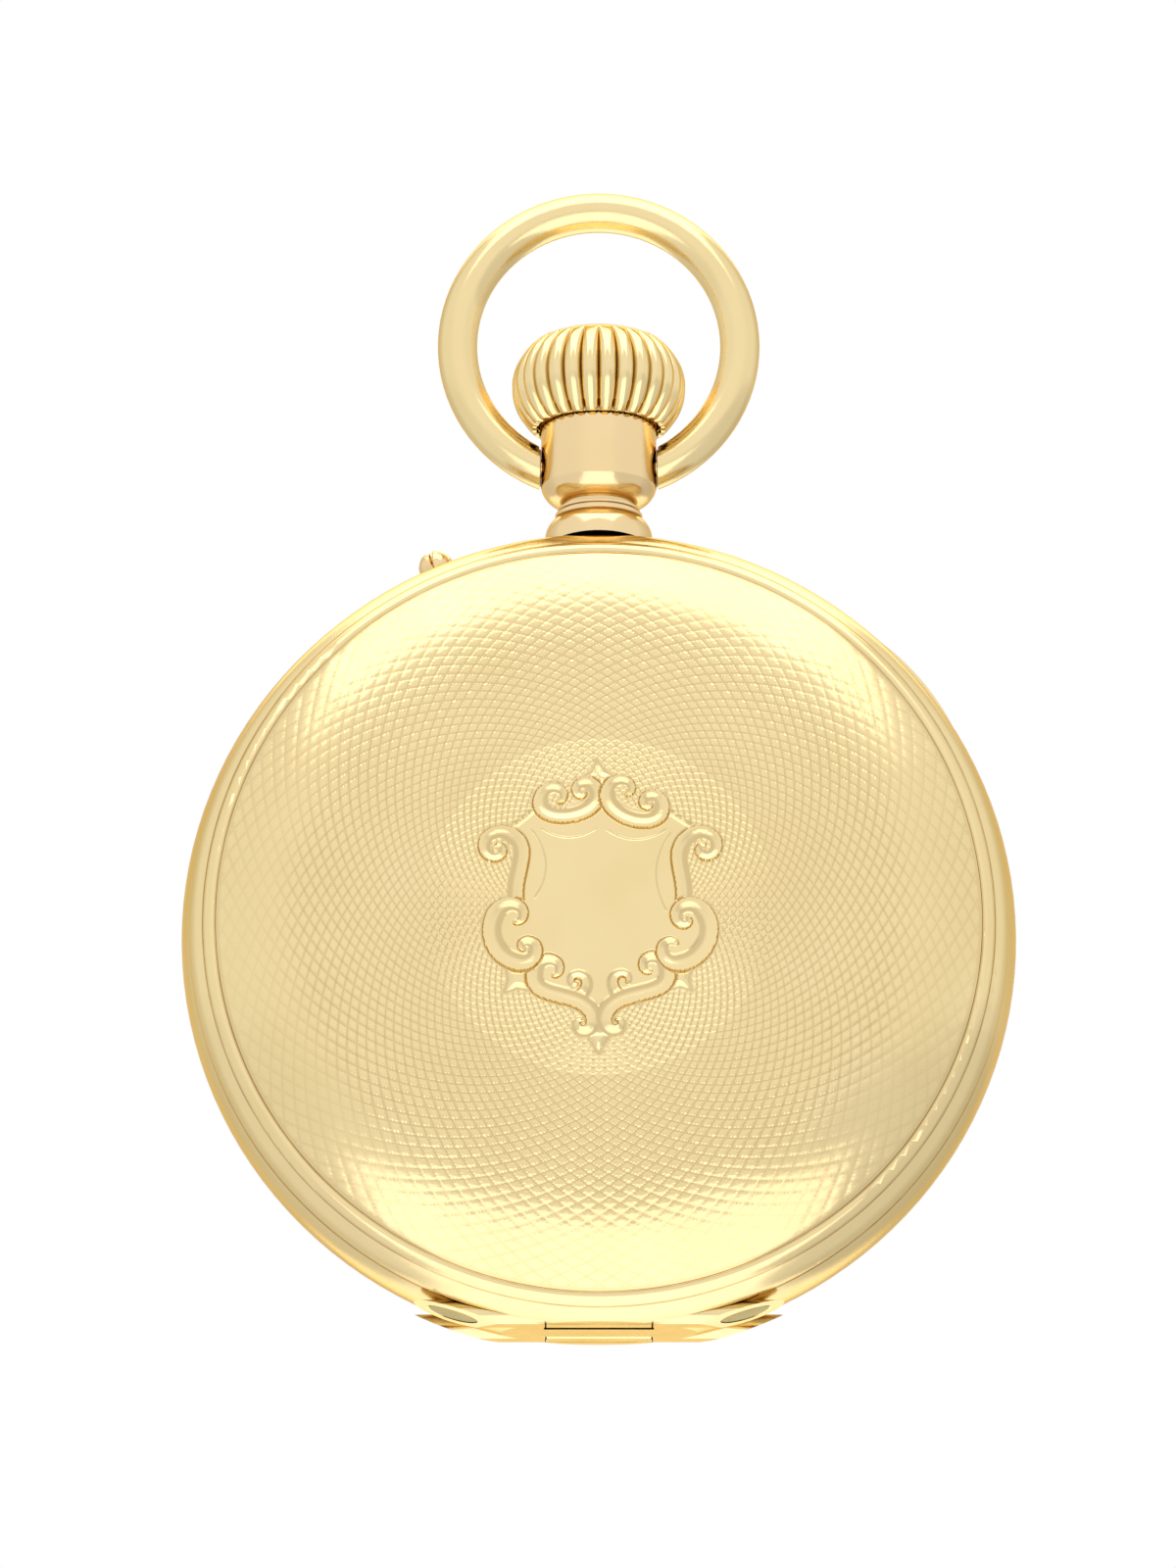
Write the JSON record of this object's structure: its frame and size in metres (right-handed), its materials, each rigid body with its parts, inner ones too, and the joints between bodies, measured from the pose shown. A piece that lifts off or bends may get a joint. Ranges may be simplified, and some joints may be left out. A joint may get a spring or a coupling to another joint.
{
  "type": "hunter pocket watch",
  "caption": "Full hunter pocket watch: two engine-turned domed covers on case joints, a fluted crown inside a round bow, an enamel dial and a lever movement.",
  "frame": {"origin": "centre of the case on the axis of the hands, midway between the two covers' edges", "axes": "+Z to the crown, -Y out of the front cover and the dial, +Y out of the back cover; on the dial 12 lies towards -X, 3 towards +Z and 6 towards +X"},
  "size_m": [0.05, 0.0148, 0.0714],
  "materials": {
    "case_gold": "engine-turned and polished yellow gold",
    "pin_gold": "filed end of a gold alloy joint pin",
    "glass": "clear domed watch glass",
    "enamel": "fired white enamel with black numerals",
    "blued_steel": "polished heat-blued steel",
    "gilt_brass": "frosted gilt brass",
    "wheel_brass": "polished wheel brass",
    "steel": "polished steel",
    "spring_steel": "tempered spring steel",
    "ruby": "polished ruby"
  },
  "bodies": {
    "case": {"case_band": "case_gold", "front_joint_pin": "pin_gold", "back_joint_pin": "pin_gold", "cuvette_lugs": "case_gold", "cuvette_joint_pin": "pin_gold", "pendant": "case_gold", "fly_spring": "spring_steel", "bezel": "case_gold", "crystal": "glass", "dial": "enamel", "main_plate": "gilt_brass", "barrel_bridge": "gilt_brass", "train_bridge": "gilt_brass", "balance_cock": "gilt_brass", "pallet_cock": "gilt_brass", "bridge_screws": "blued_steel", "cock_screw": "blued_steel", "pallet_cock_screw": "blued_steel", "case_screws": "blued_steel", "crown_wheel_screw": "steel", "jewels": "ruby", "click_spring": "spring_steel", "regulator_cap": "steel"},
    "front_cover": {"front_cover": "case_gold"},
    "back_cover": {"back_cover": "case_gold"},
    "inner_cover": {"cuvette": "case_gold"},
    "bow": {"bow": "case_gold"},
    "push_sleeve": {"push_sleeve": "steel"},
    "crown": {"crown": "case_gold", "winding_stem": "steel"},
    "latch_spring": {"latch_spring": "spring_steel"},
    "set_pusher": {"set_pusher": "case_gold"},
    "setting_yoke": {"setting_yoke": "steel"},
    "sliding_pinion": {"sliding_pinion": "steel"},
    "winding_pinion": {"winding_pinion": "steel"},
    "crown_wheel": {"crown_wheel": "steel"},
    "ratchet_wheel": {"ratchet_wheel": "steel", "ratchet_screw": "steel", "barrel_arbor": "steel"},
    "click": {"click": "steel"},
    "barrel": {"mainspring_barrel": "gilt_brass", "barrel_cover": "gilt_brass", "mainspring": "spring_steel"},
    "center_wheel": {"center_wheel": "wheel_brass"},
    "third_wheel": {"third_wheel": "wheel_brass"},
    "fourth_wheel": {"fourth_wheel": "wheel_brass", "seconds_hand": "blued_steel"},
    "escape_wheel": {"escape_wheel": "steel"},
    "pallet_fork": {"pallet_fork": "steel", "pallet_stones": "ruby"},
    "balance": {"balance_wheel": "wheel_brass", "balance_staff": "steel", "hairspring": "blued_steel"},
    "regulator": {"regulator": "steel"},
    "minute_hand": {"cannon_pinion": "steel", "minute_hand": "blued_steel"},
    "minute_wheel": {"minute_wheel": "wheel_brass"},
    "hour_hand": {"hour_wheel": "wheel_brass", "hour_hand": "blued_steel"},
    "setting_wheel": {"setting_wheel": "steel"}
  },
  "joints": [
    {"name": "front_cover_hinge", "type": "hinge", "parent": "case", "child": "front_cover", "pos_m": [0, -0.0019, -0.0236], "axis": [1, 0, 0], "range_deg": [0, 95]},
    {"name": "back_cover_hinge", "type": "hinge", "parent": "case", "child": "back_cover", "pos_m": [0, 0.0019, -0.0236], "axis": [-1, 0, 0], "range_deg": [0, 95]},
    {"name": "inner_cover_hinge", "type": "hinge", "parent": "case", "child": "inner_cover", "pos_m": [0, 0.00315, -0.0209], "axis": [-1, 0, 0], "range_deg": [0, 81]},
    {"name": "bow_swing", "type": "hinge", "parent": "case", "child": "bow", "pos_m": [0, 0, 0.0295], "axis": [1, 0, 0], "range_deg": [-95, 95]},
    {"name": "crown_press", "type": "slide", "parent": "case", "child": "push_sleeve", "axis": [0, 0, -1], "range_m": [0, 0.0005]},
    {"name": "crown_turn", "type": "hinge", "parent": "push_sleeve", "child": "crown", "pos_m": [0, 0, 0.03], "axis": [0, 0, 1], "continuous": true},
    {"name": "latch_press", "type": "slide", "parent": "case", "child": "latch_spring", "axis": [0, 0, -1], "range_m": [0, 0.0004]},
    {"name": "set_press", "type": "slide", "parent": "case", "child": "set_pusher", "axis": [0.3907, 0, -0.9205], "range_m": [0, 0.0005]},
    {"name": "yoke_shift", "type": "slide", "parent": "case", "child": "setting_yoke", "axis": [0, 0, -1], "range_m": [0, 0.0012]},
    {"name": "sliding_pinion_turn", "type": "hinge", "parent": "setting_yoke", "child": "sliding_pinion", "pos_m": [0, 0, 0.015], "axis": [0, 0, 1], "continuous": true},
    {"name": "winding_pinion_turn", "type": "hinge", "parent": "case", "child": "winding_pinion", "pos_m": [0, 0, 0.0175], "axis": [0, 0, 1], "continuous": true},
    {"name": "crown_wheel_turn", "type": "hinge", "parent": "case", "child": "crown_wheel", "pos_m": [0, 0, 0.0145], "axis": [0, 1, 0], "continuous": true},
    {"name": "ratchet_turn", "type": "hinge", "parent": "case", "child": "ratchet_wheel", "pos_m": [-0.00579, 0, 0.00629], "axis": [0, 1, 0], "continuous": true},
    {"name": "click_lift", "type": "hinge", "parent": "case", "child": "click", "pos_m": [-0.0139, 0, 0.0093], "axis": [0, -1, 0], "range_deg": [0, 6]},
    {"name": "seconds_turn", "type": "hinge", "parent": "case", "child": "fourth_wheel", "pos_m": [0.0095, 0, 0], "axis": [0, 1, 0], "continuous": true},
    {"name": "third_turn", "type": "hinge", "parent": "case", "child": "third_wheel", "pos_m": [0.006, 0, 0.0031], "axis": [0, 1, 0], "continuous": true},
    {"name": "center_turn", "type": "hinge", "parent": "case", "child": "center_wheel", "pos_m": [0, 0, 0], "axis": [0, 1, 0], "continuous": true},
    {"name": "barrel_turn", "type": "hinge", "parent": "case", "child": "barrel", "pos_m": [-0.00579, 0, 0.00629], "axis": [0, 1, 0], "continuous": true},
    {"name": "escape_turn", "type": "hinge", "parent": "case", "child": "escape_wheel", "pos_m": [0.00768, 0, -0.00425], "axis": [0, 1, 0], "continuous": true},
    {"name": "balance_swing", "type": "hinge", "parent": "case", "child": "balance", "pos_m": [0.00437, 0, -0.01172], "axis": [0, 1, 0], "range_deg": [-135, 135]},
    {"name": "fork_swing", "type": "hinge", "parent": "case", "child": "pallet_fork", "pos_m": [0.00556, 0, -0.00728], "axis": [0, 1, 0], "range_deg": [-6, 6]},
    {"name": "regulator_turn", "type": "hinge", "parent": "case", "child": "regulator", "pos_m": [0.00437, 0, -0.01172], "axis": [0, 1, 0], "range_deg": [-20, 20]},
    {"name": "minute_hand_turn", "type": "hinge", "parent": "case", "child": "minute_hand", "pos_m": [0, 0, 0], "axis": [0, 1, 0], "continuous": true},
    {"name": "minute_wheel_turn", "type": "hinge", "parent": "case", "child": "minute_wheel", "pos_m": [0, 0, 0.00312], "axis": [0, 1, 0], "continuous": true},
    {"name": "hour_hand_turn", "type": "hinge", "parent": "case", "child": "hour_hand", "pos_m": [0, 0, 0], "axis": [0, 1, 0], "continuous": true},
    {"name": "setting_wheel_turn", "type": "hinge", "parent": "case", "child": "setting_wheel", "pos_m": [0, 0, 0.0091], "axis": [0, 1, 0], "continuous": true}
  ],
  "couplings": [
    {"joint": "inner_cover_hinge", "follows": "back_cover_hinge", "ratio": 0.85},
    {"joint": "latch_press", "follows": "crown_press", "ratio": 0.8},
    {"joint": "yoke_shift", "follows": "set_press", "ratio": 2.4},
    {"joint": "sliding_pinion_turn", "follows": "crown_turn", "ratio": 1},
    {"joint": "winding_pinion_turn", "follows": "crown_turn", "ratio": 1},
    {"joint": "crown_wheel_turn", "follows": "crown_turn", "ratio": -0.5},
    {"joint": "ratchet_turn", "follows": "crown_turn", "ratio": 0.28125},
    {"joint": "third_turn", "follows": "seconds_turn", "ratio": -0.13333},
    {"joint": "center_turn", "follows": "seconds_turn", "ratio": 0.016667},
    {"joint": "barrel_turn", "follows": "seconds_turn", "ratio": -0.0020833},
    {"joint": "escape_turn", "follows": "seconds_turn", "ratio": -10},
    {"joint": "fork_swing", "follows": "balance_swing", "ratio": 0.037},
    {"joint": "minute_wheel_turn", "follows": "minute_hand_turn", "ratio": -0.33333},
    {"joint": "hour_hand_turn", "follows": "minute_hand_turn", "ratio": 0.083333},
    {"joint": "setting_wheel_turn", "follows": "minute_hand_turn", "ratio": 0.21429}
  ]
}
